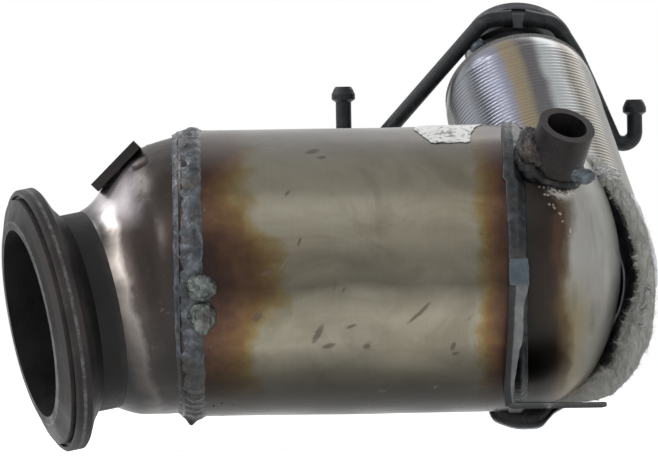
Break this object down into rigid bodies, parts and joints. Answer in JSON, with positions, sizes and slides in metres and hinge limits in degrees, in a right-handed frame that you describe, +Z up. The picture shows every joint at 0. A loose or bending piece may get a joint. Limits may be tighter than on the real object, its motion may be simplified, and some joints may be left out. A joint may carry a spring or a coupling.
{
  "type": "catalytic converter",
  "caption": "Used car catalytic converter: round can, angled V-band inlet, dished outlet with sensor boss, lagged outlet pipe, pressure tubes and a bracket",
  "frame": {"origin": "centre of the sealing lip of the inlet flange", "axes": "X runs along the can from inlet to outlet, Y points away from the viewer to the outlet pipe side, Z is up"},
  "size_m": [0.2719, 0.2564, 0.1851],
  "materials": {
    "scaled_steel": "heat scaled",
    "stained_stainless": "heat stained",
    "weld_metal": "oxidised weld",
    "bright_stainless": "bright foil",
    "mineral_fibre": "matted fibre",
    "brick_ceramic": "porous",
    "black_steel": "dull black",
    "label_paper": "scuffed"
  },
  "bodies": {
    "root": {"inlet_flange": "scaled_steel", "inlet_cone": "stained_stainless", "port_plate": "scaled_steel", "port_neck": "scaled_steel", "cone_plug": "scaled_steel", "can_shell": "stained_stainless", "inlet_weld": "weld_metal", "catalyst_brick": "brick_ceramic", "support_mat": "mineral_fibre", "outlet_dome": "stained_stainless", "sensor_boss": "scaled_steel", "outlet_weld": "weld_metal", "mounting_bracket": "weld_metal", "outlet_pipe": "stained_stainless", "outlet_collar": "bright_stainless", "jacket_foil": "bright_stainless", "insulation_mat": "mineral_fibre", "jacket_end_ring": "bright_stainless", "jacket_hem": "mineral_fibre", "left_pressure_tube": "black_steel", "right_pressure_tube": "black_steel", "tube_saddle": "bright_stainless", "tube_weld": "weld_metal", "label_scrap": "label_paper"}
  },
  "joints": []
}
